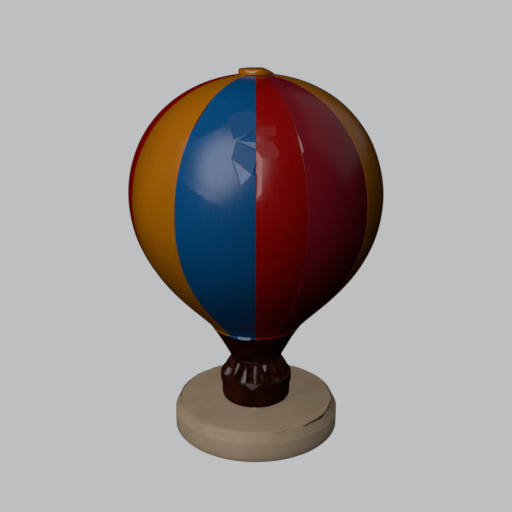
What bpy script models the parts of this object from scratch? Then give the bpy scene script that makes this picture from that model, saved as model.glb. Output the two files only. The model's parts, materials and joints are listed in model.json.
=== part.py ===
"""Hot air balloon ornament on a round plinth, 298 mm tall.

Blender 4.5: blender --background --python part.py, or run it from the Text Editor.
Metres, +Z up. The origin is the centre of the plinth's underside, and -Y is the front.
"""

import math

import bmesh
import bpy
from mathutils import Vector
from mathutils.geometry import interpolate_bezier

MM = 0.001

# Driving dimensions
GAP = 0.3 * MM  # clearance between pieces that touch
TOTAL_HEIGHT = 298.2 * MM

PLINTH_RADIUS = 69 * MM
PLINTH_SHOULDER_HEIGHT = 17 * MM  # top of the plinth's upright side
PLINTH_STEP_HEIGHT = 20 * MM  # where the top disc sits
PLINTH_HEIGHT = 24.4 * MM
TOP_DISC_RADIUS = 64.5 * MM

BASKET_RADIUS = 28.5 * MM
BASKET_WALL = 3 * MM
BASKET_FLOOR = 3.5 * MM
BASKET_TOE_RADIUS = 4 * MM  # rounding where the wall turns into the floor
RIM_RADIUS = 29.7 * MM
RIM_BOTTOM = 39.5 * MM
RIM_TOP = 47.9 * MM
RIM_INNER_RADIUS = 24.6 * MM
RIM_WEB = 4 * MM  # thickness of the rim above the basket's wall

POST_COUNT = 16
POST_FOOT_RADIUS = 2.4 * MM
POST_HEAD_RADIUS = 2 * MM
POST_FOOT_CIRCLE = 27 * MM  # where the posts stand on the rim
POST_HEAD_CIRCLE = 19.2 * MM  # where they carry the load ring
TENON_RADIUS = 1.2 * MM
TENON_LENGTH = 1.5 * MM

LOAD_RING_TOP = 63.6 * MM
LOAD_RING_THICKNESS = 2.4 * MM
LOAD_RING_RADIUS = 21.2 * MM
LOAD_RING_INNER_RADIUS = 16.8 * MM

SKIRT_FOOT_RADIUS = 21.3 * MM
SKIRT_TOP_RADIUS = 36.4 * MM
SKIRT_WALL = 3 * MM
SKIRT_FLANGE = 3 * MM  # plate at the skirt's top, under the gores
SPIGOT_OUTER_RADIUS = 23.4 * MM  # ring that the gores stand round
SPIGOT_INNER_RADIUS = 20.4 * MM
SPIGOT_HEIGHT = 5 * MM

MOUTH_RADIUS = 36.8 * MM
MOUTH_HEIGHT = 91.4 * MM
EQUATOR_RADIUS = 99.7 * MM
EQUATOR_HEIGHT = 200.1 * MM
CROWN_HEIGHT = 294.8 * MM  # where the envelope's curve would meet the axis
MOUTH_HANDLE = (14.1 * MM, 19.4 * MM)
EQUATOR_HANDLES = (58.3 * MM, 56.2 * MM)  # below and above
CROWN_HANDLE = 56.3 * MM
CROWN_HOLE_RADIUS = 11 * MM
ENVELOPE_WALL = 10 * MM
LOBE = 1.2 * MM  # how far the middle of a gore bulges past its seams

# Gores anticlockwise from the front seam, as colour and width in degrees
GORES = [
    ("red", 21.0),
    ("maroon", 34.0),
    ("orange", 34.0),
    ("blue", 33.5),
    ("red", 33.5),
    ("maroon", 33.5),
    ("orange", 33.5),
    ("blue", 33.5),
    ("red", 33.5),
    ("orange", 35.0),
    ("blue", 35.0),
]

CAP_RADIUS = 13.4 * MM
CAP_PLUG_LENGTH = 8 * MM

# Resolution
ROUND_STEPS = 48
POST_SIDES = 8
GORE_STEPS = 5  # across one gore
CURVE_POINTS = 11  # along each half of the envelope's outer curve
INNER_STRIDE = 2  # the inside keeps every second point

# Finish as sRGB colour, roughness and metallic
FINISHES = {
    "orange": ((0.85, 0.47, 0.02), 0.35, 0.0),
    "blue": ((0.02, 0.36, 0.62), 0.35, 0.0),
    "red": ((0.72, 0.03, 0.02), 0.35, 0.0),
    "maroon": ((0.42, 0.04, 0.12), 0.35, 0.0),
    "brown": ((0.16, 0.06, 0.02), 0.25, 0.0),
    "stone": ((0.70, 0.61, 0.51), 0.65, 0.0),
}


def clear_scene():
    for obj in list(bpy.data.objects):
        bpy.data.objects.remove(obj)


def to_linear(channel):
    if channel <= 0.04045:
        return channel / 12.92
    return ((channel + 0.055) / 1.055) ** 2.4


def make_materials():
    materials = {}
    for name, (colour, roughness, metallic) in FINISHES.items():
        material = bpy.data.materials.new(name)
        material.use_nodes = True
        shader = material.node_tree.nodes["Principled BSDF"]
        linear = [to_linear(channel) for channel in colour]
        shader.inputs["Base Color"].default_value = (*linear, 1.0)
        shader.inputs["Roughness"].default_value = roughness
        shader.inputs["Metallic"].default_value = metallic
        materials[name] = material
    return materials


def finish_object(name, bm, material):
    """Turns a bmesh into a named, smooth-shaded object at the world origin."""
    bmesh.ops.recalc_face_normals(bm, faces=bm.faces)
    mesh = bpy.data.meshes.new(name)
    bm.to_mesh(mesh)
    bm.free()
    mesh.shade_smooth()
    mesh.set_sharp_from_angle(angle=math.radians(35))
    mesh.materials.append(material)
    obj = bpy.data.objects.new(name, mesh)
    bpy.context.scene.collection.objects.link(obj)
    return obj


def arc(centre, radius, start_deg, end_deg, steps=4):
    """Points (r, z) on a round corner, both ends included."""
    points = []
    for i in range(steps + 1):
        angle = math.radians(start_deg + (end_deg - start_deg) * i / steps)
        points.append((centre[0] + radius * math.cos(angle), centre[1] + radius * math.sin(angle)))
    return points


def spun(profile, steps):
    """A bmesh of a profile of (r, z) points spun about Z. One that starts and ends on the
    axis is a solid of its own, and any other is closed into a ring."""
    bm = bmesh.new()
    verts = [bm.verts.new((r, 0, z)) for r, z in profile]
    edges = [bm.edges.new(pair) for pair in zip(verts, verts[1:])]
    on_axis = profile[0][0] == 0 and profile[-1][0] == 0
    if not on_axis:
        edges.append(bm.edges.new((verts[-1], verts[0])))
    bmesh.ops.spin(
        bm, geom=verts + edges, cent=(0, 0, 0), axis=(0, 0, 1),
        angle=2 * math.pi, steps=steps, use_duplicate=False,
    )
    bmesh.ops.remove_doubles(bm, verts=bm.verts, dist=0.01 * MM)
    return bm


def turned(name, profile, material, steps=ROUND_STEPS):
    return finish_object(name, spun(profile, steps), material)


def cut_holes(obj, name, holes, radius, bottom, top):
    """Cuts upright round holes, at (x, y), with one Boolean."""
    bm = bmesh.new()
    for x, y in holes:
        made = bmesh.ops.create_cone(
            bm, cap_ends=True, segments=POST_SIDES, radius1=radius, radius2=radius,
            depth=top - bottom,
        )
        bmesh.ops.translate(bm, verts=made["verts"], vec=(x, y, (top + bottom) / 2))
    cutter = finish_object(name, bm, obj.data.materials[0])
    cutter.hide_render = True
    cutter.display_type = "WIRE"
    cut = obj.modifiers.new("Sockets", "BOOLEAN")
    cut.operation = "DIFFERENCE"
    cut.object = cutter


def post_angles():
    """The posts' angles from the front, one of them straight at the front."""
    return [2 * math.pi * i / POST_COUNT for i in range(POST_COUNT)]


def around(radius, angle):
    """(x, y) at an angle from the front, anticlockwise as seen from above."""
    return radius * math.sin(angle), -radius * math.cos(angle)


def make_plinth(materials):
    toe = 1.2 * MM
    brow = 1.8 * MM
    r, side = PLINTH_RADIUS, PLINTH_SHOULDER_HEIGHT
    step = PLINTH_STEP_HEIGHT - GAP
    base = [(0, 0)]
    base += arc((r - toe, toe), toe, -90, 0, 3)
    base += arc((r - brow, side - brow), brow, 0, 60, 4)
    base += [(TOP_DISC_RADIUS, step), (0, step)]
    turned("plinth_base", base, materials["stone"])

    soft = 1.4 * MM
    disc = [(0, PLINTH_STEP_HEIGHT), (TOP_DISC_RADIUS, PLINTH_STEP_HEIGHT)]
    disc += arc((TOP_DISC_RADIUS - soft, PLINTH_HEIGHT - soft), soft, 0, 90, 4)
    disc += [(0, PLINTH_HEIGHT)]
    turned("plinth_top_disc", disc, materials["stone"])


def make_basket(materials):
    bottom = PLINTH_HEIGHT + GAP
    r, toe = BASKET_RADIUS, BASKET_TOE_RADIUS
    inner = r - BASKET_WALL
    wall_top = RIM_TOP - RIM_WEB - GAP
    tub = [(0, bottom)]
    tub += arc((r - toe, bottom + toe), toe, -90, 0, 5)
    tub += [(r, wall_top), (inner, wall_top)]
    tub += arc((inner - 1.5 * MM, bottom + BASKET_FLOOR + 1.5 * MM), 1.5 * MM, 0, -90, 2)
    tub += [(0, bottom + BASKET_FLOOR)]
    turned("basket_tub", tub, materials["brown"])

    # An L section: a web over the wall's top, and a skirting outside the wall
    edge = 1.1 * MM
    rim = [(RIM_INNER_RADIUS, RIM_TOP - RIM_WEB), (r + GAP, RIM_TOP - RIM_WEB), (r + GAP, RIM_BOTTOM)]
    rim += [(RIM_RADIUS - 0.3 * MM, RIM_BOTTOM), (RIM_RADIUS, RIM_BOTTOM + 0.4 * MM)]
    rim += arc((RIM_RADIUS - edge, RIM_TOP - edge), edge, 0, 90, 3)
    rim += [(RIM_INNER_RADIUS + 0.5 * MM, RIM_TOP), (RIM_INNER_RADIUS, RIM_TOP - 0.5 * MM)]
    obj = turned("basket_rim", rim, materials["brown"])
    holes = [around(POST_FOOT_CIRCLE, angle) for angle in post_angles()]
    cut_holes(
        obj, "rim_sockets", holes, TENON_RADIUS + GAP,
        RIM_TOP - TENON_LENGTH - GAP, RIM_TOP + 1 * MM,
    )


def make_load_ring(materials):
    bottom = LOAD_RING_TOP - LOAD_RING_THICKNESS
    edge = 0.6 * MM
    outer, inner = LOAD_RING_RADIUS, LOAD_RING_INNER_RADIUS
    ring = arc((outer - edge, bottom + edge), edge, -90, 0, 2)
    ring += [(outer, LOAD_RING_TOP), (inner, LOAD_RING_TOP), (inner, bottom)]
    obj = turned("load_ring", ring, materials["brown"])
    holes = [around(POST_HEAD_CIRCLE, angle) for angle in post_angles()]
    cut_holes(
        obj, "ring_sockets", holes, TENON_RADIUS + GAP,
        bottom - 1 * MM, bottom + TENON_LENGTH + GAP,
    )


def make_posts(materials):
    """Posts that lean inwards from the rim to the load ring, with a tenon at each end."""
    foot = RIM_TOP + GAP
    head = LOAD_RING_TOP - LOAD_RING_THICKNESS - GAP
    middle = (foot + head) / 2
    profile = [
        (0, foot - TENON_LENGTH),
        (TENON_RADIUS, foot - TENON_LENGTH),
        (TENON_RADIUS, foot),
        (POST_FOOT_RADIUS, foot),
        (POST_HEAD_RADIUS, middle),
        (POST_HEAD_RADIUS, head),
        (TENON_RADIUS, head),
        (TENON_RADIUS, head + TENON_LENGTH),
        (0, head + TENON_LENGTH),
    ]
    for number, angle in enumerate(post_angles(), start=1):
        bm = spun(profile, POST_SIDES)
        for v in bm.verts:
            share = min(max((v.co.z - foot) / (head - foot), 0), 1)
            distance = POST_FOOT_CIRCLE + (POST_HEAD_CIRCLE - POST_FOOT_CIRCLE) * share
            x, y = around(distance, angle)
            v.co.x += x
            v.co.y += y
        finish_object(f"post_{number:02d}", bm, materials["brown"])


def make_skirt(materials):
    foot = LOAD_RING_TOP + GAP
    top = MOUTH_HEIGHT - GAP
    lip = 0.8 * MM
    slope = (SKIRT_TOP_RADIUS - SKIRT_FOOT_RADIUS) / (top - foot)
    across = SKIRT_WALL * math.hypot(1, slope)  # the wall measured level
    inner_top = SKIRT_TOP_RADIUS - SKIRT_FLANGE * slope - across
    skirt = [(SKIRT_FOOT_RADIUS, foot), (SKIRT_TOP_RADIUS, top - lip), (SKIRT_TOP_RADIUS, top)]
    skirt += [(SPIGOT_OUTER_RADIUS, top), (SPIGOT_OUTER_RADIUS, top + SPIGOT_HEIGHT)]
    skirt += [(SPIGOT_INNER_RADIUS, top + SPIGOT_HEIGHT), (SPIGOT_INNER_RADIUS, top - SKIRT_FLANGE)]
    skirt += [(inner_top, top - SKIRT_FLANGE), (SKIRT_FOOT_RADIUS - across, foot)]
    turned("skirt", skirt, materials["brown"])


def envelope_curve():
    """The envelope's outer curve from mouth to crown, as (r, z) vectors."""
    mouth = Vector((MOUTH_RADIUS, MOUTH_HEIGHT))
    equator = Vector((EQUATOR_RADIUS, EQUATOR_HEIGHT))
    crown = Vector((0, CROWN_HEIGHT))
    lower = interpolate_bezier(
        mouth, mouth + Vector(MOUTH_HANDLE),
        equator - Vector((0, EQUATOR_HANDLES[0])), equator, CURVE_POINTS,
    )
    upper = interpolate_bezier(
        equator, equator + Vector((0, EQUATOR_HANDLES[1])),
        crown + Vector((CROWN_HANDLE, 0)), crown, CURVE_POINTS,
    )
    return [p.copy() for p in lower] + [p.copy() for p in upper[1:]]


def crossing(a, b, axis, value):
    """The point of line a-b where one coordinate has the given value."""
    return a.lerp(b, (value - a[axis]) / (b[axis] - a[axis]))


def trimmed(points):
    """Ends a curve at the mouth's plane and at the crown's hole."""
    kept = [p for p in points if p.y > MOUTH_HEIGHT - GAP and p.x > CROWN_HOLE_RADIUS]
    past_hole = points[points.index(kept[-1]) + 1]
    if kept[0].y > MOUTH_HEIGHT + GAP:
        kept.insert(0, crossing(kept[0], kept[1], 1, MOUTH_HEIGHT))
    kept.append(crossing(kept[-1], past_hole, 0, CROWN_HOLE_RADIUS))
    return kept


def wall_section():
    """The envelope wall's closed outline: up the outside and down the inside."""
    outer = envelope_curve()
    inner = []
    for i, point in enumerate(outer):
        along = outer[min(i + 1, len(outer) - 1)] - outer[max(i - 1, 0)]
        normal = Vector((along.y, -along.x)).normalized()
        inner.append(point - normal * ENVELOPE_WALL)
    inside = trimmed(inner)
    inside = inside[:1] + inside[1:-1:INNER_STRIDE] + inside[-1:]
    return trimmed(outer) + inside[::-1]


def make_gores(materials):
    section = wall_section()
    span = CROWN_HEIGHT - MOUTH_HEIGHT
    start = 0.0
    for number, (colour, degrees) in enumerate(GORES, start=1):
        width = math.radians(degrees)
        bm = bmesh.new()
        verts = [bm.verts.new((p.x, 0, p.y)) for p in section]
        face = bm.faces.new(verts)
        bmesh.ops.spin(
            bm, geom=[face] + verts + list(face.edges), cent=(0, 0, 0), axis=(0, 0, 1),
            angle=width, steps=GORE_STEPS, use_duplicate=False,
        )
        bmesh.ops.remove_doubles(bm, verts=bm.verts, dist=0.001 * MM)
        for v in bm.verts:
            r = math.hypot(v.co.x, v.co.y)
            across = math.atan2(v.co.y, v.co.x) / width  # 0 at one seam, 1 at the other
            share = (v.co.z - MOUTH_HEIGHT) / span
            swell = LOBE * (math.sin(math.pi * across) - 0.5) * math.sin(math.pi * share)
            angle = start + width * across - GAP / r * (across - 0.5)
            v.co.x, v.co.y = around(r + swell, angle)
        finish_object(f"gore_{number:02d}_{colour}", bm, materials[colour])
        start += width


def make_crown_cap(materials):
    """A cap whose plug drops into the hole that the gores leave."""
    under = trimmed(envelope_curve())[-1].y + GAP
    plug = CROWN_HOLE_RADIUS - GAP
    edge = 0.8 * MM
    cap = [(0, under - CAP_PLUG_LENGTH), (plug - edge, under - CAP_PLUG_LENGTH)]
    cap += [(plug, under - CAP_PLUG_LENGTH + edge), (plug, under), (CAP_RADIUS, under)]
    cap += arc((CAP_RADIUS - edge, TOTAL_HEIGHT - edge), edge, 0, 90, 3)
    cap += [(0, TOTAL_HEIGHT)]
    turned("crown_cap", cap, materials["orange"], ROUND_STEPS // 2)


def main():
    clear_scene()
    materials = make_materials()
    make_plinth(materials)
    make_basket(materials)
    make_posts(materials)
    make_load_ring(materials)
    make_skirt(materials)
    make_gores(materials)
    make_crown_cap(materials)


main()
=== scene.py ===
import json
import math
import random

import bpy
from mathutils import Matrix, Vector, noise
from mathutils.geometry import interpolate_bezier

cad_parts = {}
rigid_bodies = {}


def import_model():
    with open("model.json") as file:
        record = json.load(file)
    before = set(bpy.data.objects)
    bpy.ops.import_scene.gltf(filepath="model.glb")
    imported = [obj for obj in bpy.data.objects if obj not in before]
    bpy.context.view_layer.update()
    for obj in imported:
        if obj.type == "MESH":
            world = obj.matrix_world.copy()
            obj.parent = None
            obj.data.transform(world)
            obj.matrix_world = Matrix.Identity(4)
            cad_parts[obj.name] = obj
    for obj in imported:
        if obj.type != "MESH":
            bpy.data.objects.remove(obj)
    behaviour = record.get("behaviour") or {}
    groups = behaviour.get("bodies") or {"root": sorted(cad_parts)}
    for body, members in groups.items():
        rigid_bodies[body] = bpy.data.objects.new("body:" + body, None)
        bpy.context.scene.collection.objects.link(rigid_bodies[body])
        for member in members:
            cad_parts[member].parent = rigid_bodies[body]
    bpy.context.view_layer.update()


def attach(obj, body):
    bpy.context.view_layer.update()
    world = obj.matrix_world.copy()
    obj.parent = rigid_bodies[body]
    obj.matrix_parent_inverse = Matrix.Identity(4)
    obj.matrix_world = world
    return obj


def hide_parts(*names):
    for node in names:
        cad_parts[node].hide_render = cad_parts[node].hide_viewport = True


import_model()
mm = 0.001


def colour(hexText):
    # sRGB hex to the linear values that the shader takes
    channels = [int(hexText[i:i + 2], 16) / 255 for i in (1, 3, 5)]
    linear = [c / 12.92 if c <= 0.04045 else ((c + 0.055) / 1.055) ** 2.4 for c in channels]
    return (*linear, 1.0)


def addNode(tree, kind, links=None, **settings):
    # one node with its settings; links maps an input to another node's output or to a value
    node = tree.nodes.new(kind)
    for name, value in settings.items():
        setattr(node, name, value)
    for socket, source in (links or {}).items():
        if isinstance(source, bpy.types.NodeSocket):
            tree.links.new(source, node.inputs[socket])
        else:
            node.inputs[socket].default_value = source
    return node


def newMaterial(name):
    material = bpy.data.materials.new(name)
    material.use_nodes = True
    tree = material.node_tree
    tree.nodes.clear()
    shader = addNode(tree, "ShaderNodeBsdfPrincipled")
    addNode(tree, "ShaderNodeOutputMaterial", {"Surface": shader.outputs[0]})
    return material, tree, shader


def onlyThis(piece):
    bpy.ops.object.select_all(action="DESELECT")
    piece.select_set(True)
    bpy.context.view_layer.objects.active = piece


def useModifier(piece, kind, **settings):
    onlyThis(piece)
    modifier = piece.modifiers.new(kind.title(), kind)
    for name, value in settings.items():
        setattr(modifier, name, value)
    bpy.ops.object.modifier_apply(modifier=modifier.name)


def drawOutline(name, points):
    # a plane merged to one corner, which is then extruded from point to point
    bpy.ops.object.select_all(action="DESELECT")
    bpy.ops.mesh.primitive_plane_add(size=mm, location=(0, 0, 0))
    piece = bpy.context.object
    piece.name = name
    piece.data.name = name
    bpy.ops.object.mode_set(mode="EDIT")
    bpy.ops.mesh.merge(type="CENTER")
    bpy.ops.transform.translate(value=points[0])
    for here, there in zip(points, points[1:]):
        step = Vector(there) - Vector(here)
        bpy.ops.mesh.extrude_region_move(TRANSFORM_OT_translate={"value": step})
    return piece


def turn(name, outline, steps=96):
    # spins (r, z) millimetres about the upright axis, closed into a ring unless it ends on the axis
    points = [(0, -r * mm, z * mm) for r, z in outline]
    if outline[0][0] > 0:
        points.append(points[0])
    piece = drawOutline(name, points)
    bpy.ops.mesh.select_all(action="SELECT")
    bpy.ops.mesh.spin(steps=steps, angle=math.tau, center=(0, 0, 0), axis=(0, 0, 1))
    bpy.ops.mesh.select_all(action="SELECT")
    bpy.ops.mesh.remove_doubles(threshold=0.005 * mm)
    bpy.ops.mesh.normals_make_consistent(inside=False)
    bpy.ops.object.mode_set(mode="OBJECT")
    return piece


def roundEdges(piece, width, segments=3, angle=30):
    useModifier(
        piece, "BEVEL", width=width * mm, segments=segments,
        limit_method="ANGLE", angle_limit=math.radians(angle), harden_normals=False,
    )


def smooth(piece, angle=35):
    onlyThis(piece)
    bpy.ops.object.shade_smooth_by_angle(angle=math.radians(angle))


def cutAway(piece, corners, away):
    # a face through the corners, extruded out of the piece and subtracted, which leaves a flat
    cutter = drawOutline("cutter", [corner * mm for corner in corners])
    bpy.ops.mesh.select_all(action="SELECT")
    bpy.ops.mesh.edge_face_add()
    bpy.ops.mesh.extrude_region_move(TRANSFORM_OT_translate={"value": away * mm})
    bpy.ops.mesh.select_all(action="SELECT")
    bpy.ops.mesh.normals_make_consistent(inside=False)
    bpy.ops.object.mode_set(mode="OBJECT")
    useModifier(piece, "BOOLEAN", operation="DIFFERENCE", solver="EXACT", object=cutter)
    bpy.data.objects.remove(cutter)


def sliceOff(piece, point, azimuth, elevation):
    # takes off what lies past a plane, given by a point on it and the way it faces
    onlyThis(piece)
    bpy.ops.object.mode_set(mode="EDIT")
    bpy.ops.mesh.select_all(action="SELECT")
    bpy.ops.mesh.bisect(
        plane_co=Vector(point) * mm, plane_no=facing(azimuth, elevation), use_fill=True, clear_outer=True)
    bpy.ops.object.mode_set(mode="OBJECT")


def facing(azimuth, elevation=0.0):
    # the direction of an azimuth, 0 in front and positive to the right, and an elevation
    turned, raised = math.radians(azimuth), math.radians(elevation)
    level = math.cos(raised)
    return Vector((math.sin(turned) * level, -math.cos(turned) * level, math.sin(raised)))


def spot(azimuth, radius, height):
    # a point in mm, from its azimuth, its distance from the axis and its height
    return facing(azimuth) * radius + Vector((0, 0, height))


def lumpy(piece, amount, size, seed=0):
    # moves the surface in and out a little, as on a casting finished by hand, all but the poles
    for corner in piece.data.vertices:
        x, y, z = corner.co / mm
        radius = math.hypot(x, y)
        if radius > 1:
            push = amount * noise.noise(Vector((x, y, z + seed)) / size)
            corner.co = Vector((x * (1 + push / radius), y * (1 + push / radius), z)) * mm


def put(piece, material, slot, *nodes):
    piece.data.materials.clear()
    piece.data.materials.append(material)
    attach(piece, "root")
    if nodes:
        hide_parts(*nodes)


envelope = {
    "mouthRadius": 36.8,
    "mouthHeight": 91.4,
    "mouthHandle": (14.1, 19.4),
    "innerMouth": 24.4,
    "equatorRadius": 99.7,
    "equatorHeight": 200.1,
    "handleBelow": 58.3,
    "handleAbove": 56.2,
    "crownHeight": 294.8,
    "crownHandle": 56.3,
    "holeRadius": 11.0,
    "holeClear": 0.5,  # the curves stop this far outside the hole
    "holeDrop": 0.7,
    "wall": 10.0,
    "innerRise": 0.2,
    "lobe": 1.2,  # how far a gore's middle stands past its seams
    "hemBead": 0.7,
    "seamGap": 0.16,
    "edgeRound": 0.18,
    "facetAngle": 7,  # edges sharper than this stay crisp, so that the knocked flats show
    "lump": 0.22,  # unevenness of the hand-finished casting
    "lumpSize": 24.0,
    "pointsUp": 60,  # along each half of the curve
    "innerEvery": 6,  # the inner face takes one point in so many
    "stepsAcross": 34,
}
goreColours = ["red", "maroon", "orange", "blue", "red", "maroon", "orange", "blue", "red", "orange", "blue"]
goreWidths = [21, 34, 34, 33.5, 33.5, 33.5, 33.5, 33.5, 33.5, 35, 35]

# shallow folds: angle and height of both ends, and depth in mm, less than nothing for a ridge
folds = [
    (0.5, 177, 16, 179, 0.30),
    (9, 163, 16, 164, 0.22),
    (8, 150, 17, 151, 0.25),
    (21, 166, 23, 180, 0.35),
    (2, 118, 13, 126, 0.45),
    (13, 126, 25, 121, 0.40),
    (-20, 128, -5, 126, 0.30),
    (-5, 138, -1, 119, 0.35),
    (-48, 177, -39, 175, 0.35),
    (56, 169, 60, 178, -0.60),
    (-36, 232, -13, 214, -0.25),
]
foldWidth = 2.0
foldReach = 8.0  # past this a fold has faded out

# and a few more at random round the back
foldDice = random.Random(7)
for turnAngle in range(75, 300, 15):
    low = foldDice.uniform(112, 172)
    folds.append((
        turnAngle, low, turnAngle + foldDice.uniform(8, 16), low + foldDice.uniform(-9, 9),
        foldDice.uniform(0.2, 0.4)))


def envelopeCurve():
    # the outside from mouth to crown, as (radius, height)
    steps = envelope["pointsUp"]
    mouth = Vector((envelope["mouthRadius"], envelope["mouthHeight"]))
    equator = Vector((envelope["equatorRadius"], envelope["equatorHeight"]))
    crown = Vector((0, envelope["crownHeight"]))
    outward = mouth + Vector(envelope["mouthHandle"])
    below = equator - Vector((0, envelope["handleBelow"]))
    above = equator + Vector((0, envelope["handleAbove"]))
    beside = crown + Vector((envelope["crownHandle"], 0))
    lower = interpolate_bezier(mouth, outward, below, equator, steps)
    upper = interpolate_bezier(equator, above, beside, crown, steps)
    return [Vector(p) for p in lower] + [Vector(p) for p in upper[1:]]


def radiusAt(height):
    curve = envelopeCurve()
    for below, above in zip(curve, curve[1:]):
        if above.y >= height:
            return below.lerp(above, (height - below.y) / (above.y - below.y)).x
    return 0


def goreOutline():
    # outer face from a rounded hem to the crown hole, then the inner face back down
    hole = envelope["holeRadius"]
    hem = envelope["hemBead"]
    clear = hole + envelope["holeClear"]
    outer = [point for point in envelopeCurve() if point.x > clear]
    outer.append(Vector((hole, envelope["crownHeight"] - envelope["holeDrop"])))
    inner = []
    for i in range(0, len(outer), envelope["innerEvery"]):
        ahead = outer[min(i + 1, len(outer) - 1)] - outer[max(i - 1, 0)]
        inner.append(outer[i] - Vector((ahead.y, -ahead.x)).normalized() * envelope["wall"])
    inner = [point for point in inner if point.x > clear]
    inner.append(Vector((hole, inner[-1].y + envelope["innerRise"])))
    inner.insert(0, Vector((envelope["innerMouth"], envelope["mouthHeight"])))
    bead = []
    for bend in range(-90, 61, 30):
        turned = math.radians(bend)
        bead.append(Vector((
            outer[0].x + hem * math.cos(turned),
            envelope["mouthHeight"] + hem * (1 + math.sin(turned)))))
    return bead + outer[2:] + inner[::-1]


# a hollow on the red beside the blue: its heights, its reach in degrees, its depth and its soft edge
cheek = {"low": 221, "high": 247, "wide": 15, "deep": 0.4, "edge": 2.5}


def bellCurve(away, wide):
    return math.exp(-(away / wide) ** 2)


def foldDepth(angle, radius, height):
    # sum of the folds' grooves, each fading to either side, and of the hollow cheek
    depth = 0
    if 0 <= angle < cheek["wide"]:
        inside = min(height - cheek["low"], cheek["high"] - height) / cheek["edge"]
        depth += cheek["deep"] * (1 - angle / cheek["wide"]) ** 2 * min(max(inside + 0.5, 0), 1)
    for fromAngle, fromHeight, toAngle, toHeight, deep in folds:
        turned = (angle - fromAngle + 180) % 360 - 180
        here = Vector((turned * math.radians(radius), height - fromHeight))
        along = Vector(((toAngle - fromAngle) * math.radians(radius), toHeight - fromHeight))
        share = min(max(here.dot(along) / along.length_squared, 0), 1)
        away = (here - along * share).length
        if away < foldReach:
            fading = 0.4 + 0.6 * math.sin(math.pi * share)
            depth += deep * bellCurve(away, foldWidth) * fading
    return depth


def makeGore(number, start, width):
    # the wall's outline is filled, then spun through the gore's angle
    angle = math.radians(start)
    points = [
        (point.x * math.sin(angle) * mm, -point.x * math.cos(angle) * mm, point.y * mm)
        for point in goreOutline()
    ]
    gore = drawOutline(f"gore{number:02d}", points)
    bpy.ops.mesh.select_all(action="SELECT")
    bpy.ops.mesh.edge_face_add()
    bpy.ops.mesh.spin(
        steps=envelope["stepsAcross"], angle=-math.radians(width), center=(0, 0, 0), axis=(0, 0, 1))
    bpy.ops.mesh.select_all(action="SELECT")
    bpy.ops.mesh.remove_doubles(threshold=0.001 * mm)
    bpy.ops.mesh.normals_make_consistent(inside=False)
    bpy.ops.object.mode_set(mode="OBJECT")
    height = envelope["crownHeight"] - envelope["mouthHeight"]
    for corner in gore.data.vertices:
        x, y, z = corner.co / mm
        radius = math.hypot(x, y)
        turned = (math.degrees(math.atan2(x, -y)) - start + 90) % 360 - 90
        across = turned / width
        up = math.sin(math.pi * min(max((z - envelope["mouthHeight"]) / height, 0), 1))
        radius += envelope["lobe"] * (math.sin(math.pi * across) - 0.5) * up
        radius += envelope["lump"] * up * noise.noise(Vector((x, y, z)) / envelope["lumpSize"])
        radius -= foldDepth(start + turned, radius, z)
        gap = envelope["seamGap"] / radius * (across - 0.5)
        around = math.radians(start + turned) - gap
        corner.co = Vector((radius * math.sin(around), -radius * math.cos(around), z)) * mm
    return gore


# flats knocked into the envelope at its seams: angle, height and depth in mm of three corners,
# which set the plane, then angle and height of any others
goreFlats = {
    1: {
        "topStep": [(-1.5, 266, 1.8), (10.4, 266, 0.0), (9.8, 260, 0.1), (-1.5, 260)],
        "midStep": [(-1.5, 256, 0.25), (7.5, 256.7, 0.0), (10.2, 250.7, 0.0), (9.9, 246.5), (-1.5, 246.5)],
        "edge": [(0.3, 251, 0.9), (2.9, 246.3, 0.5), (2.3, 224, 0.5), (0.3, 221), (-1.5, 221), (-1.5, 251.5)],
    },
    2: {
        "glint": [(20.4, 260.5, 0.9), (21.6, 259.5, -0.1), (22.3, 250, -0.1), (20.4, 247)],
    },
    10: {
        "glint": [(-34.6, 258, 0.5), (-37.8, 257, -0.1), (-38.3, 249, -0.1), (-34.6, 248)],
    },
    11: {
        "brow": [
            (-27.2, 258, 0.1), (-15.3, 267.3, 0.1), (-21, 279.5, 0.0),
            (-12, 286), (-36, 286), (-40, 272), (-33, 253.5)],
        "peak": [(-15.3, 267.3, 0.1), (-10.5, 257.6, 0.1), (1.5, 265, 1.0), (1.5, 284), (-15, 284)],
        "nick": [(-8.5, 257.4, 0.2), (1.5, 255.6, 0.1), (1.5, 265, 1.8)],
        "glance": [(-9.2, 257, 0.1), (1.5, 256, 0.1), (1.5, 251, 1.0)],
        "slab": [(-9.2, 257, 0.1), (1.5, 251, 2.5), (-1.6, 236.4, 1.3), (-10.9, 245.5)],
        "heel": [(1.5, 251, 2.5), (1.5, 236.4, 3.4), (-1.6, 236.4, 1.3)],
        "kite": [(-10.6, 245.6, 1.5), (-1.6, 236.4, 0.1), (-6.3, 229, 1.1)],
    },
}


def knockFlats(piece, flats, radiusOf, outward=8.0):
    # cuts each flat out of a piece whose outer radius at a height is radiusOf(height)
    for corners in flats.values():
        points = [spot(angle, radiusOf(height) - depth, height) for angle, height, depth in corners[:3]]
        lean = (points[1] - points[0]).cross(points[2] - points[0]).normalized()
        for angle, height in corners[3:]:
            reach = (lean.dot(points[0]) - lean.z * height) / lean.dot(facing(angle))
            points.append(spot(angle, reach, height))
        middle = sum(points, Vector()) / len(points)
        cutAway(piece, points, Vector((middle.x, middle.y, 0)).normalized() * outward)


enamelLooks = {
    "orange": {"paint": "#B36B02", "thin": "#A86203"},
    "blue": {"paint": "#03528A", "thin": "#034C7F"},
    "red": {"paint": "#950402", "thin": "#8B0301"},
    "maroon": {"paint": "#7F1121", "thin": "#770F1E"},
}
enamelGrain = {
    "coatSize": 45,  # mm across a patch of thicker or thinner paint
    "strokeWidth": 1.6,
    "strokeLength": 26,
    "peelSize": 2.2,  # real orange peel is finer, and wouldn't show
    "peelDepth": 0.02,
    "nibSize": 7.0,  # one speck of dust under the paint in each cell of this size
    "nibHeight": 0.1,
    "roughness": (0.23, 0.3),
}


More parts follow.
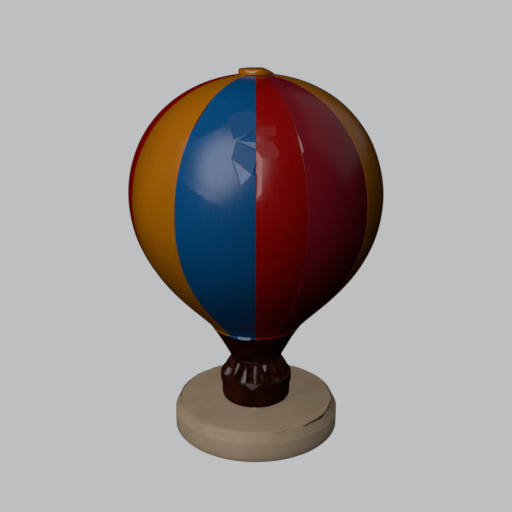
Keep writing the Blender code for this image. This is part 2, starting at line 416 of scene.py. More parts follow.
def scaleFor(size):
    # noise scale for features of a size in millimetres
    return 1 / (size * mm)


def enamel(name, look):
    # gloss enamel brushed on resin: even colour, and soft broad highlights that brush marks and orange peel
    # break up
    grain = enamelGrain
    material, tree, shader = newMaterial(name)
    place = addNode(tree, "ShaderNodeTexCoord")
    coats = addNode(tree, "ShaderNodeTexNoise", {
        "Vector": place.outputs["Object"], "Scale": scaleFor(grain["coatSize"]),
        "Detail": 4.0, "Roughness": 0.55})
    stretched = addNode(tree, "ShaderNodeMapping", {
        "Vector": place.outputs["Object"], "Scale": (1, 1, grain["strokeWidth"] / grain["strokeLength"])})
    strokes = addNode(tree, "ShaderNodeTexNoise", {
        "Vector": stretched.outputs[0], "Scale": scaleFor(grain["strokeWidth"]),
        "Detail": 2.0, "Roughness": 0.5})
    blend = addNode(tree, "ShaderNodeMath", {0: strokes.outputs["Fac"], 1: 0.25}, operation="MULTIPLY")
    patches = addNode(tree, "ShaderNodeMapRange", {
        "Value": coats.outputs["Fac"], "From Min": 0.35, "From Max": 0.65, "To Max": 0.8})
    cover = addNode(tree, "ShaderNodeMath", {0: patches.outputs[0], 1: blend.outputs[0]}, operation="ADD")
    mix = addNode(tree, "ShaderNodeMix", {
        "Factor": cover.outputs[0], "A": colour(look["paint"]), "B": colour(look["thin"])},
        data_type="RGBA")
    tree.links.new(mix.outputs["Result"], shader.inputs["Base Color"])
    sheen = addNode(tree, "ShaderNodeMapRange", {
        "Value": strokes.outputs["Fac"], "From Min": 0.3, "From Max": 0.7,
        "To Min": grain["roughness"][0], "To Max": grain["roughness"][1]})
    tree.links.new(sheen.outputs[0], shader.inputs["Roughness"])
    peel = addNode(tree, "ShaderNodeTexNoise", {
        "Vector": place.outputs["Object"], "Scale": scaleFor(grain["peelSize"]), "Detail": 1.5})
    peelBump = addNode(tree, "ShaderNodeBump", {
        "Height": peel.outputs["Fac"], "Strength": 0.35, "Distance": grain["peelDepth"] * mm})
    nibs = addNode(tree, "ShaderNodeTexVoronoi", {
        "Vector": place.outputs["Object"], "Scale": scaleFor(grain["nibSize"])}, feature="F1")
    speck = addNode(tree, "ShaderNodeMapRange", {
        "Value": nibs.outputs["Distance"], "From Min": 0.0, "From Max": 0.05, "To Min": 1.0, "To Max": 0.0})
    nibBump = addNode(tree, "ShaderNodeBump", {
        "Height": speck.outputs[0], "Strength": 0.5, "Distance": grain["nibHeight"] * mm,
        "Normal": peelBump.outputs[0]})
    tree.links.new(nibBump.outputs[0], shader.inputs["Normal"])
    return material


print("envelope")
goreMaterials = {name: enamel(f"{name} gloss enamel", look) for name, look in enamelLooks.items()}
start = 0.0
for number, (name, width) in enumerate(zip(goreColours, goreWidths), start=1):
    gore = makeGore(number, start, width)
    roundEdges(gore, envelope["edgeRound"], segments=2, angle=50)
    knockFlats(gore, goreFlats.get(number, {}), radiusAt)
    smooth(gore, envelope["facetAngle"])
    put(gore, goreMaterials[name], name, f"gore_{number:02d}_{name}")
    start += width

hemRoll = {
    "from": -27,
    "to": -2.5,
    "lift": 0.15,
    "height": 3.1,
    "stand": 3.3,  # how far the roll stands out from the hem at its fattest
    "root": 0.4,  # how far its back is sunk into the hem
    "skew": 1.2,  # over 1 puts the fattest part nearer the blue gore's right end
    "blunt": 0.4,  # the smaller, the more suddenly the ends taper
    "thinnest": 0.05,
    "endHeight": 0.45,  # share of the height that is left at the ends
    "uneven": 0.06,
    "unevenSize": 5,
    "steps": 28,
    "flat": {"azimuth": -15, "elevation": 29, "out": 1.9, "up": 1.8},
}
# across the roll, as shares of its stand and height
hemSection = [(0, 0), (0.6, 0), (0.92, 0.12), (1, 0.3), (0.96, 0.44), (0.66, 1), (-0.1, 1), (-0.1, 0)]


def makeHemRoll():
    # a roll of thick paint along the front of the blue hem, fat in the middle and thin at both ends
    wide = hemRoll["to"] - hemRoll["from"]
    foot = envelope["mouthHeight"] + hemRoll["lift"]
    radius = envelope["mouthRadius"]
    corners = [
        spot(hemRoll["from"], radius + out * hemRoll["stand"], foot + up * hemRoll["height"]) * mm
        for out, up in hemSection
    ]
    roll = drawOutline("hemRoll", corners)
    bpy.ops.mesh.select_all(action="SELECT")
    bpy.ops.mesh.edge_face_add()
    bpy.ops.mesh.spin(
        steps=hemRoll["steps"], angle=-math.radians(wide), center=(0, 0, 0), axis=(0, 0, 1))
    bpy.ops.mesh.select_all(action="SELECT")
    bpy.ops.mesh.remove_doubles(threshold=0.001 * mm)
    bpy.ops.mesh.normals_make_consistent(inside=False)
    bpy.ops.object.mode_set(mode="OBJECT")
    root = radius - hemRoll["root"]
    for corner in roll.data.vertices:
        x, y, z = corner.co / mm
        share = (math.degrees(math.atan2(x, -y)) - hemRoll["from"]) / wide
        bulge = math.sin(math.pi * min(max(share, 0), 1) ** hemRoll["skew"])
        fat = bulge ** hemRoll["blunt"] + hemRoll["thinnest"]
        fat *= 1 + hemRoll["uneven"] * noise.noise(Vector((x, y, 5)) / hemRoll["unevenSize"])
        here = math.hypot(x, y)
        out = (root + (here - root) * fat) / here
        up = foot + (z - foot) * (hemRoll["endHeight"] + (1 - hemRoll["endHeight"]) * fat)
        corner.co = Vector((x * out, y * out, up)) * mm
    flat = hemRoll["flat"]
    point = spot(flat["azimuth"], radius + flat["out"], envelope["mouthHeight"] + flat["up"])
    sliceOff(roll, point, flat["azimuth"], flat["elevation"])
    return roll


roll = makeHemRoll()
smooth(roll, 20)
put(roll, goreMaterials["blue"], "blue")

print("crown cap")
crownCap = {
    "radius": 13.4,
    "plugRadius": 10.6,
    "plugDepth": 8.0,
    "underside": 294.3,
    "top": 298.2,
    "edgeRound": 0.7,
    "steps": 48,
    "dropAt": 5.5,  # where the top starts to slope down to the right
    "dropSlope": 22,
    "frontFlat": {"through": (-17, 13.65, 295.6), "azimuth": -15, "elevation": 31},
    "leftFlat": {"from": -12.2, "azimuth": -80, "elevation": 50},
}
capBottom = crownCap["underside"] - crownCap["plugDepth"]
cap = turn("crownCap", [
    (0, capBottom),
    (crownCap["plugRadius"], capBottom),
    (crownCap["plugRadius"], crownCap["underside"]),
    (crownCap["radius"], crownCap["underside"]),
    (crownCap["radius"], crownCap["top"]),
    (0, crownCap["top"]),
], crownCap["steps"])
frontFlat, leftFlat = crownCap["frontFlat"], crownCap["leftFlat"]
sliceOff(cap, (crownCap["dropAt"], 0, crownCap["top"]), 90, 90 - crownCap["dropSlope"])
sliceOff(cap, spot(*frontFlat["through"]), frontFlat["azimuth"], frontFlat["elevation"])
sliceOff(cap, (leftFlat["from"], 0, crownCap["top"]), leftFlat["azimuth"], leftFlat["elevation"])
roundEdges(cap, crownCap["edgeRound"], segments=2, angle=25)
smooth(cap, 25)
put(cap, goreMaterials["orange"], "orange", "crown_cap")


lacquerGrain = {
    "thick": "#220A03",
    "thin": "#3A1405",
    "poolSize": 14,  # mm across a patch of thicker or thinner lacquer
    "rippleSize": 4.5,
    "rippleDepth": 0.12,
    "runLength": 0.45,  # upright scale of the ripples, so that they are about twice as tall as wide
    "roughness": (0.2, 0.3),
}


def lacquer():
    # thick brown gloss lacquer on resin: nearly black, with redder patches where the coat is thin
    grain = lacquerGrain
    material, tree, shader = newMaterial("brown gloss lacquer")
    place = addNode(tree, "ShaderNodeTexCoord")
    pools = addNode(tree, "ShaderNodeTexNoise", {
        "Vector": place.outputs["Object"], "Scale": scaleFor(grain["poolSize"]),
        "Detail": 3.0, "Roughness": 0.55, "Distortion": 0.6})
    share = addNode(tree, "ShaderNodeMapRange", {
        "Value": pools.outputs["Fac"], "From Min": 0.36, "From Max": 0.66})
    mix = addNode(tree, "ShaderNodeMix", {
        "Factor": share.outputs[0], "A": colour(grain["thick"]), "B": colour(grain["thin"])},
        data_type="RGBA")
    tree.links.new(mix.outputs["Result"], shader.inputs["Base Color"])
    sheen = addNode(tree, "ShaderNodeMapRange", {
        "Value": pools.outputs["Fac"], "From Min": 0.3, "From Max": 0.7,
        "To Min": grain["roughness"][0], "To Max": grain["roughness"][1]})
    tree.links.new(sheen.outputs[0], shader.inputs["Roughness"])
    runs = addNode(tree, "ShaderNodeMapping", {
        "Vector": place.outputs["Object"], "Scale": (1, 1, grain["runLength"])})
    ripple = addNode(tree, "ShaderNodeTexNoise", {
        "Vector": runs.outputs[0], "Scale": scaleFor(grain["rippleSize"]),
        "Detail": 2.0, "Roughness": 0.45})
    bump = addNode(tree, "ShaderNodeBump", {
        "Height": ripple.outputs["Fac"], "Strength": 0.6, "Distance": grain["rippleDepth"] * mm})
    tree.links.new(bump.outputs[0], shader.inputs["Normal"])
    return material


print("skirt and neck")
brown = lacquer()
skirtShape = {
    "footRadius": 21.3,
    "foot": 63.9,
    "flare": [(26.4, 73.2), (31.4, 82.2)],  # radius and height on the way up
    "topRadius": 36.4,
    "top": 91.1,
    "lip": 0.8,
    "wall": 3.6,
    "flange": 3.0,
    "hollowRadius": 31.3,
    "spigotOuter": 23.4,
    "spigotInner": 20.4,
    "spigotTop": 96.1,
    "edgeRound": 0.5,
    "lump": 0.5,
    "lumpSize": 9,
}
flangeBottom = skirtShape["top"] - skirtShape["flange"]
skirt = turn("skirt", [
    (skirtShape["footRadius"], skirtShape["foot"]),
    *skirtShape["flare"],
    (skirtShape["topRadius"], skirtShape["top"] - skirtShape["lip"]),
    (skirtShape["topRadius"], skirtShape["top"]),
    (skirtShape["spigotOuter"], skirtShape["top"]),
    (skirtShape["spigotOuter"], skirtShape["spigotTop"]),
    (skirtShape["spigotInner"], skirtShape["spigotTop"]),
    (skirtShape["spigotInner"], flangeBottom),
    (skirtShape["hollowRadius"], flangeBottom),
    (skirtShape["footRadius"] - skirtShape["wall"], skirtShape["foot"]),
])
roundEdges(skirt, skirtShape["edgeRound"])
lumpy(skirt, skirtShape["lump"], skirtShape["lumpSize"])
smooth(skirt, 40)
put(skirt, brown, "brown", "skirt")

ringShape = {
    "outer": 21.2,
    "inner": 16.8,
    "bottom": 61.2,
    "top": 63.6,
    "edgeRound": 0.3,
    "lump": 0.3,
    "lumpSize": 5,
}
loadRing = turn("loadRing", [
    (ringShape["outer"], ringShape["bottom"]),
    (ringShape["outer"], ringShape["top"]),
    (ringShape["inner"], ringShape["top"]),
    (ringShape["inner"], ringShape["bottom"]),
])
roundEdges(loadRing, ringShape["edgeRound"], segments=1)
lumpy(loadRing, ringShape["lump"], ringShape["lumpSize"])
smooth(loadRing, 40)
put(loadRing, brown, "brown", "load_ring")

postShape = {
    "count": 16,
    "sides": 6,
    "footRadius": 3.2,
    "headRadius": 2.3,
    "bulge": 0.45,
    "footCircle": 26.2,
    "headCircle": 18.7,
    "foot": 47.6,
    "head": 61.5,
    "levels": 6,
    "edgeFacing": -15,  # the way one corner of each six-sided post points
    "turnBy": 9,  # the most that an unchipped post is turned about itself
    "edgeRound": 0.35,
    "chipHalf": 4,  # half the width of the cutter that takes a chip off
    "chipDeep": 5,
}
# flats chipped off a post: height and depth at the lower and the upper end, and the way the flat faces
postChips = {
    14: (47.5, 1.4, 54.5, 2.6, -15),
    15: (52.5, 0.1, 60.5, 0.4, -15),
    16: (48.0, 1.1, 58.6, 0.1, -17),
    1: (48.0, 0.5, 60.6, 0.8, 0),
    2: (56.5, 0.3, 61.2, 1.1, -15),
    3: (47.5, 1.2, 50.2, 1.0, -12),
}


def postAt(number, height):
    # middle and radius of a post at a height
    share = (height - postShape["foot"]) / (postShape["head"] - postShape["foot"])
    circle = postShape["footCircle"] + (postShape["headCircle"] - postShape["footCircle"]) * share
    radius = postShape["footRadius"] + (postShape["headRadius"] - postShape["footRadius"]) * share
    radius += postShape["bulge"] * math.sin(math.pi * min(max(share, 0), 1))
    return spot(360 * (number - 1) / postShape["count"], circle, height), radius


def makePost(number, twist):
    # a six-sided face extruded up in levels, then leaned from the rim in to the ring
    bpy.ops.object.select_all(action="DESELECT")
    bpy.ops.mesh.primitive_circle_add(
        vertices=postShape["sides"], radius=mm, fill_type="NGON", location=(0, 0, 0))
    post = bpy.context.object
    post.name = f"post{number:02d}"
    post.data.name = post.name
    bpy.ops.object.mode_set(mode="EDIT")
    rise = (postShape["head"] - postShape["foot"]) / postShape["levels"]
    for level in range(postShape["levels"]):
        bpy.ops.mesh.extrude_region_move(TRANSFORM_OT_translate={"value": (0, 0, rise * mm)})
    bpy.ops.mesh.select_all(action="SELECT")
    bpy.ops.mesh.normals_make_consistent(inside=False)
    bpy.ops.object.mode_set(mode="OBJECT")
    for corner in post.data.vertices:
        middle, radius = postAt(number, postShape["foot"] + corner.co.z / mm)
        azimuth = math.degrees(math.atan2(corner.co.x, -corner.co.y)) + postShape["edgeFacing"] + twist
        corner.co = (middle + facing(azimuth) * radius) * mm
    return post


def chipPost(post, number):
    low, lowDepth, high, highDepth, azimuth = postChips[number]
    ahead = facing(azimuth)
    aside = facing(azimuth + 90) * postShape["chipHalf"]
    lowMiddle, lowRadius = postAt(number, low)
    highMiddle, highRadius = postAt(number, high)
    lowEdge = lowMiddle + ahead * (lowRadius - lowDepth)
    highEdge = highMiddle + ahead * (highRadius - highDepth)
    corners = [lowEdge - aside, lowEdge + aside, highEdge + aside, highEdge - aside]
    cutAway(post, corners, ahead * postShape["chipDeep"])


postDice = random.Random(3)
for number in range(1, postShape["count"] + 1):
    twist = 0 if number in postChips else postDice.uniform(-1, 1) * postShape["turnBy"]
    post = makePost(number, twist)
    if number in postChips:
        chipPost(post, number)
    roundEdges(post, postShape["edgeRound"], segments=2, angle=25)
    smooth(post, 25)
    put(post, brown, "brown", f"post_{number:02d}")

print("basket")
basket = {
    "radius": 28.5,
    "wall": 3.0,
    "floor": 3.5,
    "bottom": 24.7,
    "toeRound": 4.0,
    "belly": 34.0,
    "floorCorner": 1.5,
    "tubEdge": 0.4,
    "rimRadius": 29.7,
    "rimBulge": 0.3,
    "rimBulgeDrop": 3,
    "rimEdge": 0.5,
    "rimInner": 24.6,
    "rimBottom": 39.5,
    "rimTop": 47.9,
    "web": 4.0,
    "gap": 0.3,
    "lump": 0.5,
    "tubLumpSize": 11,
    "rimLumpSize": 9,
    "lumpSeed": 40,
}
wallTop = basket["rimTop"] - basket["web"] - basket["gap"]
floorTop = basket["bottom"] + basket["floor"]
bore = basket["radius"] - basket["wall"]
toe = [
    (basket["radius"] - basket["toeRound"] * (1 - math.sin(math.radians(bend))),
     basket["bottom"] + basket["toeRound"] * (1 - math.cos(math.radians(bend))))
    for bend in range(0, 91, 15)
]
tub = turn("basketTub", [(0, basket["bottom"])] + toe + [
    (basket["radius"], basket["belly"]),
    (basket["radius"], wallTop),
    (bore, wallTop),
    (bore, floorTop + basket["floorCorner"]),
    (bore - basket["floorCorner"], floorTop),
    (0, floorTop),
])
roundEdges(tub, basket["tubEdge"], segments=2, angle=50)
lumpy(tub, basket["lump"], basket["tubLumpSize"], basket["lumpSeed"])
smooth(tub, 40)
put(tub, brown, "brown", "basket_tub")

# angle, height and depth of each flat's corners, as on the envelope
rimFlats = {
    "lip": [(-23, 48.6, 1.5), (9, 48.6, 1.5), (-6.5, 42.8, 0.0)],
    "corner": [(-62, 48.6, 1.6), (-24, 48.6, 1.2), (-26, 46.2, 0.1), (-60, 45.6)],
    "rightCorner": [(14, 48.6, 1.0), (52, 48.6, 1.4), (48, 46.4, 0.1), (16, 46.9)],
}
webBottom = basket["rimTop"] - basket["web"]
overTub = basket["radius"] + basket["gap"]
rim = turn("basketRim", [
    (basket["rimInner"], webBottom),
    (overTub, webBottom),
    (overTub, basket["rimBottom"]),
    (basket["rimRadius"], basket["rimBottom"]),
    (basket["rimRadius"] + basket["rimBulge"], basket["rimTop"] - basket["rimBulgeDrop"]),
    (basket["rimRadius"], basket["rimTop"]),
    (basket["rimInner"], basket["rimTop"]),
])
roundEdges(rim, basket["rimEdge"], segments=1, angle=40)
lumpy(rim, basket["lump"], basket["rimLumpSize"], basket["lumpSeed"])
knockFlats(rim, rimFlats, lambda height: basket["rimRadius"])
smooth(rim, 20)
put(rim, brown, "brown", "basket_rim")


stoneGrain = {
    "light": "#BBA286",
    "dark": "#AF977B",
    "sand": "#8E775E",
    # the hole colour is painted shade for the inside of the air holes
    "hole": "#6B5744",
    "cloudSize": 28,  # mm
    "sandSize": 0.9,
    "sandDepth": 0.15,
    "holeSpacing": 5.5,
    "holeDepth": 0.3,
    "roughness": 0.62,
}


def castStone():
    # honed cast stone: warm beige and matt, clouded, with fine sand grain and small air holes, painted darker
    # inside as shade in the pits
    grain = stoneGrain
    material, tree, shader = newMaterial("beige cast stone")
    place = addNode(tree, "ShaderNodeTexCoord")
    clouds = addNode(tree, "ShaderNodeTexNoise", {
        "Vector": place.outputs["Object"], "Scale": scaleFor(grain["cloudSize"]),
        "Detail": 5.0, "Roughness": 0.6, "Distortion": 0.8})
    cloudShare = addNode(tree, "ShaderNodeMapRange", {
        "Value": clouds.outputs["Fac"], "From Min": 0.35, "From Max": 0.65})
    tint = addNode(tree, "ShaderNodeMix", {
        "Factor": cloudShare.outputs[0], "A": colour(grain["light"]), "B": colour(grain["dark"])},
        data_type="RGBA")
    sand = addNode(tree, "ShaderNodeTexNoise", {
        "Vector": place.outputs["Object"], "Scale": scaleFor(grain["sandSize"]),
        "Detail": 3.0, "Roughness": 0.7})
    sandShare = addNode(tree, "ShaderNodeMapRange", {
        "Value": sand.outputs["Fac"], "From Min": 0.3, "From Max": 0.7, "To Min": 0.0, "To Max": 0.35})
    grained = addNode(tree, "ShaderNodeMix", {
        "Factor": sandShare.outputs[0], "A": tint.outputs["Result"], "B": colour(grain["sand"])},
        data_type="RGBA")
    cells = addNode(tree, "ShaderNodeTexVoronoi", {
        "Vector": place.outputs["Object"], "Scale": scaleFor(grain["holeSpacing"]), "Randomness": 1.0},
        feature="F1")
    holes = addNode(tree, "ShaderNodeMapRange", {
        "Value": cells.outputs["Distance"], "From Min": 0.03, "From Max": 0.07, "To Min": 0.6, "To Max": 0.0})
    # painted shade: the air holes take a darker colour where shade would fall in them
    shadedPits = addNode(tree, "ShaderNodeMix", {
        "Factor": holes.outputs[0], "A": grained.outputs["Result"], "B": colour(grain["hole"])},
        data_type="RGBA")
    tree.links.new(shadedPits.outputs["Result"], shader.inputs["Base Color"])
    shader.inputs["Roughness"].default_value = grain["roughness"]
    grainBump = addNode(tree, "ShaderNodeBump", {
        "Height": sand.outputs["Fac"], "Strength": 0.5, "Distance": grain["sandDepth"] * mm})
    holeBump = addNode(tree, "ShaderNodeBump", {
        "Height": holes.outputs[0], "Strength": 0.6, "Distance": grain["holeDepth"] * mm,
        "Normal": grainBump.outputs[0]}, invert=True)
    tree.links.new(holeBump.outputs[0], shader.inputs["Normal"])
    return material


print("plinth")
stone = castStone()
plinth = {
    "radius": 69.0,
    "toe": (1.0, 1.2),  # how far the foot's corner is taken in and up
    "waist": 9.0,
    "shoulder": 17.6,
    "shoulderCorner": [(0, -1.5), (0.8, 0), (2.4, 2.6)],  # inwards and upwards from the shoulder
    "collarRadius": 64.8,
    "collarTop": 23.6,
    "collarCorner": (0.4, 0.2),
    "step": 19.7,
    "discBottom": 20.0,
    "top": 24.4,
    "discRadius": 64.5,
    "discCorner": 1,
    "discLump": 0.9,
    "discLumpSize": 6,
    "sag": 2.9,  # how far the collar drops at the right, where the disc's edge shows
    "undercut": 3.4,
    "uneven": 2.2,
    "unevenOut": 1.3,
    "waveSizes": (13, 5),  # mm, the small waves half as strong
    "wearFrom": 14,  # the wear grows from nothing here to all of it 5 mm up
    "wearOver": 5,
    "highest": 0.6,  # how far a wave may lift the collar
    "baseEdge": 0.5,
    "discEdge": 0.4,
    "steps": 180,
}
# worn places: azimuth, half width in degrees and depth in mm
collarNick = (19, 5, 1.3)
collarChips = [(81, 4, 1.1), (-84, 3, 0.8)]
collarSag = (58, 25, plinth["sag"])
discUndercut = (58, 26, plinth["undercut"])

toeIn, toeUp = plinth["toe"]
collarIn, collarDrop = plinth["collarCorner"]
base = turn("plinthBase", [
    (0, 0),
    (plinth["radius"] - toeIn, 0),
    (plinth["radius"], toeUp),
    (plinth["radius"], plinth["waist"]),
    *[(plinth["radius"] - inward, plinth["shoulder"] + up) for inward, up in plinth["shoulderCorner"]],
    (plinth["collarRadius"] + collarIn, plinth["collarTop"]),
    (plinth["collarRadius"], plinth["collarTop"] - collarDrop),
    (plinth["collarRadius"], plinth["step"]),
    (0, plinth["step"]),
], plinth["steps"])


def wornBy(azimuth, place):
    middle, wide, deep = place
    return deep * bellCurve(azimuth - middle, wide)


def wearCollar(piece):
    # the collar round the disc is uneven, sunken at the right, nicked in front and chipped at both sides
    broad, small = plinth["waveSizes"]
    for corner in piece.data.vertices:
        x, y, z = corner.co / mm
        radius = math.hypot(x, y)
        if radius < plinth["collarRadius"] - 1:
            continue
        azimuth = math.degrees(math.atan2(x, -y))
        share = min(max((z - plinth["wearFrom"]) / plinth["wearOver"], 0), 1)
        wave = noise.noise(Vector((x / broad, y / broad, 2.0)))
        wave += 0.5 * noise.noise(Vector((x / small, y / small, 7.0)))
        sunk = wornBy(azimuth, collarSag) + wornBy(azimuth, collarNick)
        chipped = sum(wornBy(azimuth, chip) for chip in collarChips)
        drop = (plinth["uneven"] * (wave - 0.3) + sunk) * share
        out = 1 + (plinth["unevenOut"] * wave * share - chipped * share) / radius
        innerEdge = z < plinth["step"] + 0.01 and radius < plinth["collarRadius"] + 0.2
        if not innerEdge:
            corner.co = Vector((x * out, y * out, z - max(drop, -plinth["highest"]))) * mm


wearCollar(base)
roundEdges(base, plinth["baseEdge"], segments=2, angle=24)
smooth(base)
put(base, stone, "stone", "plinth_base")

disc = turn("plinthTopDisc", [
    (0, plinth["discBottom"]),
    (plinth["discRadius"], plinth["discBottom"]),
    (plinth["discRadius"], plinth["top"] - 2 * plinth["discCorner"]),
    (plinth["discRadius"], plinth["top"] - plinth["discCorner"]),
    (plinth["discRadius"] - plinth["discCorner"], plinth["top"]),
    (0, plinth["top"]),
], plinth["steps"])


def undercutDisc(piece):
    # the disc's edge draws in below its top corner, where the sunken collar shows it
    for corner in piece.data.vertices:
        x, y, z = corner.co / mm
        atEdge = math.hypot(x, y) > plinth["discRadius"] - 0.5
        if atEdge and z < plinth["top"] - 1.5 * plinth["discCorner"]:
            azimuth = math.degrees(math.atan2(x, -y))
            share = 1 - wornBy(azimuth, discUndercut) / plinth["discRadius"]
            corner.co = Vector((x * share, y * share, z)) * mm


undercutDisc(disc)
lumpy(disc, plinth["discLump"], plinth["discLumpSize"])
roundEdges(disc, plinth["discEdge"], segments=2, angle=20)
smooth(disc, 40)
put(disc, stone, "stone", "plinth_top_disc")

crumbShape = {
    "count": 11,
    "from": -19,
    "to": 1,
    "size": (0.35, 0.8),
    "inside": 2.2,  # how far inside the tub's outline they start, and how far out they are strewn
    "strewn": 2.4,
    "sunk": 0.4,
    "pale": "#F2E8DA",
    "dark": "#B5A48F",
    "dustSize": 0.5,
    "roughness": 0.8,
}


def makeCrumbs():
    # broken grains of pale grout along the basket's foot, each a small sphere squashed and joined to the rest
    dice = random.Random(11)
    bpy.ops.object.select_all(action="DESELECT")
    nearest = basket["radius"] - crumbShape["inside"]
    grains = []
    for grain in range(crumbShape["count"]):
        size = dice.uniform(*crumbShape["size"])
        azimuth = dice.uniform(crumbShape["from"], crumbShape["to"])
        radius = nearest + dice.uniform(0, crumbShape["strewn"])
        where = spot(azimuth, radius, plinth["top"] + size * crumbShape["sunk"])
        turned = [dice.uniform(0, 3) for axis in range(3)]
        squash = (1, dice.uniform(0.5, 1), dice.uniform(0.5, 0.9))
        bpy.ops.mesh.primitive_ico_sphere_add(
            subdivisions=1, radius=size * mm, location=where * mm, rotation=turned, scale=squash)
        bpy.ops.object.transform_apply(location=True, rotation=True, scale=True)
        grains.append(bpy.context.object)
    for grain in grains:
        grain.select_set(True)
    bpy.context.view_layer.objects.active = grains[0]
    bpy.ops.object.join()
    grains[0].name = "crumbs"
    return grains[0]


def limeGrout():
    # broken lime grout: chalky, paler than the stone it fell on
    material, tree, shader = newMaterial("pale lime grout")
    place = addNode(tree, "ShaderNodeTexCoord")
    dust = addNode(tree, "ShaderNodeTexNoise", {
        "Vector": place.outputs["Object"], "Scale": scaleFor(crumbShape["dustSize"]), "Detail": 2.0})
    mix = addNode(tree, "ShaderNodeMix", {
        "Factor": dust.outputs["Fac"], "A": colour(crumbShape["pale"]), "B": colour(crumbShape["dark"])},
        data_type="RGBA")
    tree.links.new(mix.outputs["Result"], shader.inputs["Base Color"])
    shader.inputs["Roughness"].default_value = crumbShape["roughness"]
    return material


crumbs = makeCrumbs()
put(crumbs, limeGrout(), "stone")

print("light, floor and camera")
studio = {
    "grey": "#BEBFC1",
    "roomRadius": 4.0,  # metres
    "roomHeight": 4.0,
    "roomCorner": 500,  # mm
    "roomDrop": 0.2,  # mm that its floor lies below the plinth
    "ambient": 0.02,
    "bounce": 0.8,
    "bounceInner": 0.075,
    "bounceOuter": 0.17,
}
# softboxes: where they stand round the piece, their size in metres and their power in watts
lamps = {
    "aimedAt": 150,  # mm up the axis
    "key": {"azimuth": -34, "elevation": 39, "distance": 1.0, "width": 1.2, "height": 1.5, "power": 21.8},
    "fill": {"azimuth": 112, "elevation": 38, "distance": 1.2, "width": 1.4, "height": 1.0, "power": 0.85},
    "back": {"azimuth": 180, "elevation": 0, "distance": 2.0, "width": 0.3, "height": 0.6, "power": 14.0},
}
# the key's cloth dims to nothing between these shares of its half width
keyCloth = {"even": 0.35, "edge": 1.0}


def aim(thing, azimuth, elevation, distance, target):
    # stands a light or the camera round a target
    back = facing(azimuth, elevation)
    thing.location = Vector(target) + back * distance
    thing.rotation_euler = back.to_track_quat("Z", "Y").to_euler()


def glowing(name, strength):
    # an even, self-lit grey studio surface
    material = bpy.data.materials.new(name)
    material.use_nodes = True
    tree = material.node_tree
    tree.nodes.clear()
    glow = addNode(tree, "ShaderNodeEmission", {"Color": colour(studio["grey"]), "Strength": strength})
    addNode(tree, "ShaderNodeOutputMaterial", {"Surface": glow.outputs[0]})
    return material


def softbox(name):
    setting = lamps[name]
    bpy.ops.object.light_add(type="AREA")
    lamp = bpy.context.object
    lamp.name = f"{name}Softbox"
    lamp.data.shape = "RECTANGLE"
    lamp.data.size = setting["width"]
    lamp.data.size_y = setting["height"]
    lamp.data.energy = setting["power"]
    lamp.visible_camera = False
    target = (0, 0, lamps["aimedAt"] * mm)
    aim(lamp, setting["azimuth"], setting["elevation"], setting["distance"], target)
    return lamp


bpy.ops.object.select_all(action="DESELECT")
bpy.ops.mesh.primitive_cylinder_add(
    vertices=64, radius=studio["roomRadius"], depth=studio["roomHeight"],
    location=(0, 0, studio["roomHeight"] / 2 - studio["roomDrop"] * mm))
floor = bpy.context.object
floor.name = "studioFloor"
roundEdges(floor, studio["roomCorner"], segments=6, angle=40)
floor.data.materials.append(glowing("pale grey studio paper", 1.0))
floor.visible_diffuse = False
floor.visible_glossy = False
floor.visible_shadow = False

# the stretch of floor round the plinth, which throws light back up at it
bpy.ops.object.select_all(action="DESELECT")
bpy.ops.mesh.primitive_circle_add(vertices=64, radius=studio["bounceInner"], fill_type="NOTHING")
bounce = bpy.context.object
bounce.name = "floorBounce"
bpy.ops.object.mode_set(mode="EDIT")
bpy.ops.mesh.extrude_edges_move()
bpy.ops.transform.resize(value=(studio["bounceOuter"] / studio["bounceInner"],) * 2 + (1,))
bpy.ops.mesh.select_all(action="SELECT")
bpy.ops.mesh.normals_make_consistent(inside=False)
bpy.ops.object.mode_set(mode="OBJECT")
bounce.data.materials.append(glowing("floor bounce", studio["bounce"]))
bounce.visible_camera = False
bounce.visible_glossy = False
bounce.visible_shadow = False
plinthOnly = bpy.data.collections.new("lit by the floor")
for piece in (base, disc):
    plinthOnly.objects.link(piece)
bounce.light_linking.receiver_collection = plinthOnly

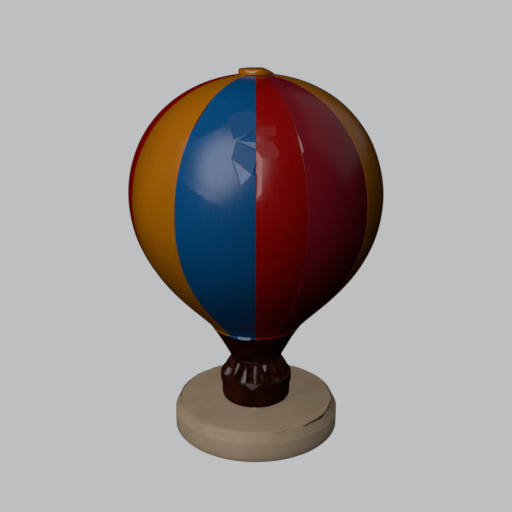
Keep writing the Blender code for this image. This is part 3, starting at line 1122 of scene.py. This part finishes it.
world = bpy.data.worlds.new("studio room")
bpy.context.scene.world = world
world.use_nodes = True
sky = world.node_tree
sky.nodes.clear()
room = addNode(sky, "ShaderNodeBackground", {"Color": colour("#FFFFFF"), "Strength": studio["ambient"]})
addNode(sky, "ShaderNodeOutputWorld", {"Surface": room.outputs[0]})
world.cycles_visibility.glossy = False  # the room lights the piece but doesn't show in its gloss


def hangCloth(lamp):
    # the cloth is brightest in the middle, so that highlights fade out at their edges
    lamp.data.use_nodes = True
    tree = lamp.data.node_tree
    tree.nodes.clear()
    across = addNode(tree, "ShaderNodeNewGeometry")
    fromMiddle = addNode(tree, "ShaderNodeVectorMath", {
        0: across.outputs["Parametric"], 1: (0.5, 0.5, 0)}, operation="SUBTRACT")
    flat = addNode(tree, "ShaderNodeVectorMath", {
        0: fromMiddle.outputs[0], 1: (2, 2, 0)}, operation="MULTIPLY")
    distance = addNode(tree, "ShaderNodeVectorMath", {0: flat.outputs[0]}, operation="LENGTH")
    fade = addNode(tree, "ShaderNodeMapRange", {
        "Value": distance.outputs["Value"], "From Min": keyCloth["even"], "From Max": keyCloth["edge"],
        "To Min": 1.0, "To Max": 0.0}, interpolation_type="SMOOTHSTEP")
    bulb = addNode(tree, "ShaderNodeEmission", {"Strength": fade.outputs[0]})
    addNode(tree, "ShaderNodeOutputLight", {"Surface": bulb.outputs[0]})


hangCloth(softbox("key"))
softbox("fill")
softbox("back").visible_glossy = False  # it lifts the far side without a bright line round the outline

# the plinth's stone stays out of the gloss above it, and nothing shades its top
for piece in (base, disc):
    piece.visible_glossy = False
for piece in bpy.context.scene.objects:
    if piece.type == "MESH" and piece.name.startswith(("gore", "skirt", "loadRing", "post", "basket")):
        piece.visible_shadow = False

# distance and height of its target in mm, and the lens and sensor in mm
lens = {"elevation": 17.87, "distance": 638, "height": 149.3, "length": 55.06, "sensor": 36}
bpy.ops.object.camera_add()
camera = bpy.context.object
aim(camera, 0, lens["elevation"], lens["distance"] * mm, (0, 0, lens["height"] * mm))
camera.data.lens = lens["length"]
camera.data.sensor_width = lens["sensor"]
bpy.context.scene.camera = camera
bpy.context.scene.view_settings.view_transform = "Standard"
